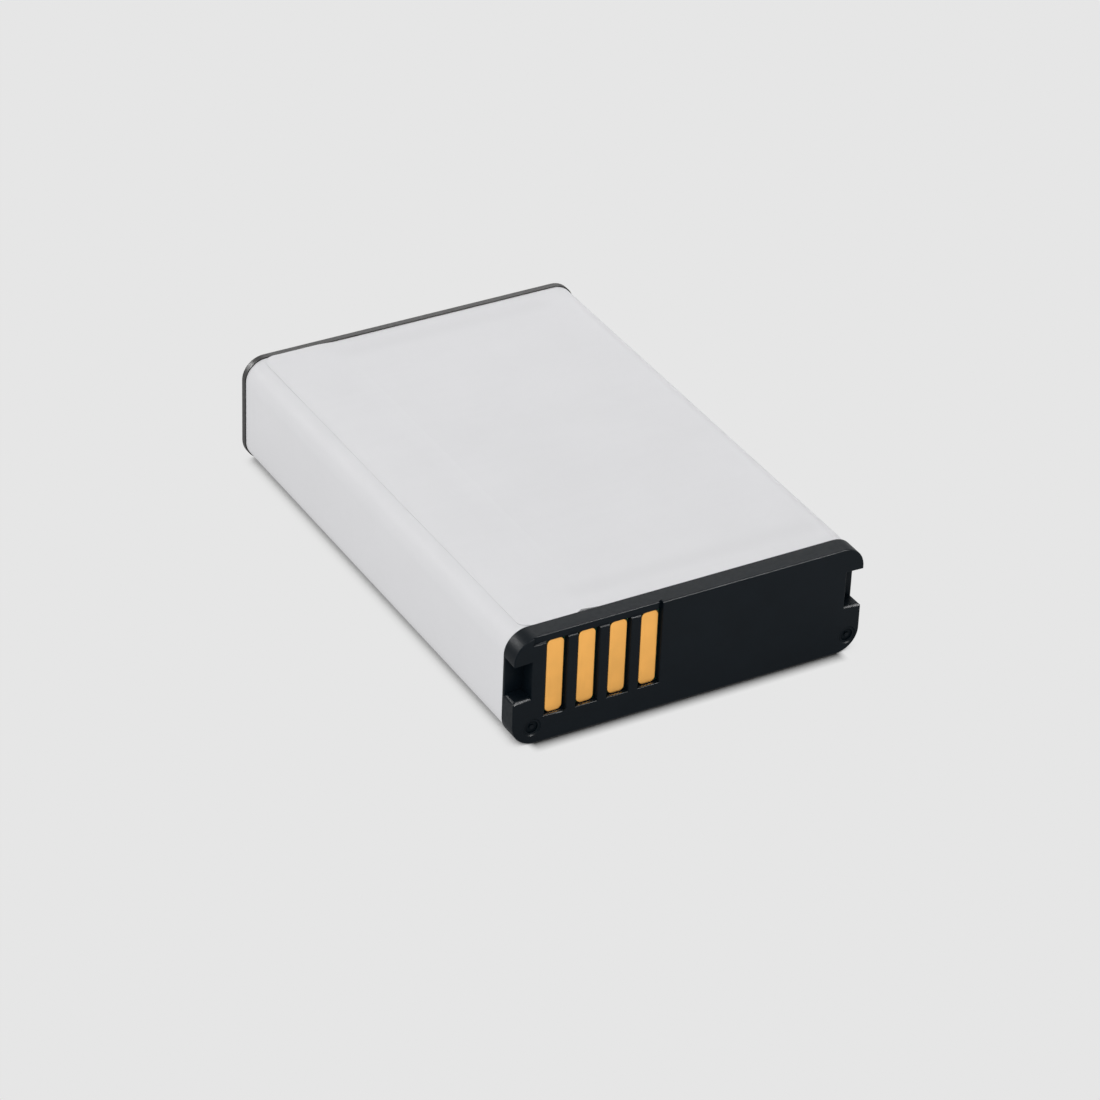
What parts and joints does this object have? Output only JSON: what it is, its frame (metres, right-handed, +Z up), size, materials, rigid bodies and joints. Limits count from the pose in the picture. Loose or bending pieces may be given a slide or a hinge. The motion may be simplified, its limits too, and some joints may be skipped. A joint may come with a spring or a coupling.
{
  "type": "navigation device battery pack",
  "caption": "Flat rechargeable lithium battery pack for a handheld satellite navigation device, with a black contact cap, gold contacts, latch notches and a plain white film sleeve.",
  "frame": {"origin": "centre of the underside, on the surface that the end rims rest on", "axes": "+X across the pack, +Y along it from the contact face to the far end, +Z up through its thickness"},
  "size_m": [0.038, 0.057, 0.0118],
  "materials": {
    "cap_plastic": "fine-grained black moulding",
    "frame_plastic": "fine-grained black moulding",
    "can_aluminium": "drawn",
    "gasket_plastic": "natural",
    "plated_steel": "nickel plated",
    "nickel": "rolled strip",
    "fibre_sheet": "pressed fibre sheet",
    "chip_moulding": "moulded resin",
    "spacer_plastic": "natural moulding",
    "board_laminate": "solder resist",
    "gold_plating": "satin gold plate",
    "chip_ceramic": "fired ceramic",
    "foam": "closed-cell foam",
    "white_film": "satin film"
  },
  "bodies": {
    "root": {"contact_cap": "cap_plastic", "end_frame": "frame_plastic", "cell": "can_aluminium", "terminal_gasket": "gasket_plastic", "terminal_rivet": "plated_steel", "fill_plug": "can_aluminium", "clad_plate": "nickel", "lid_insulator": "fibre_sheet", "positive_tab": "nickel", "negative_tab": "nickel", "thermal_cutoff": "chip_moulding", "cutoff_lead": "nickel", "board_spacer": "spacer_plastic", "circuit_board": "board_laminate", "contact_positive": "gold_plating", "contact_data": "gold_plating", "contact_sense": "gold_plating", "contact_negative": "gold_plating", "protection_chip": "chip_moulding", "mosfet_pair": "chip_moulding", "identification_chip": "chip_moulding", "thermistor": "chip_ceramic", "chip_resistors": "chip_moulding", "chip_capacitors": "chip_ceramic", "end_foam": "foam", "film_sleeve": "white_film"}
  },
  "joints": []
}
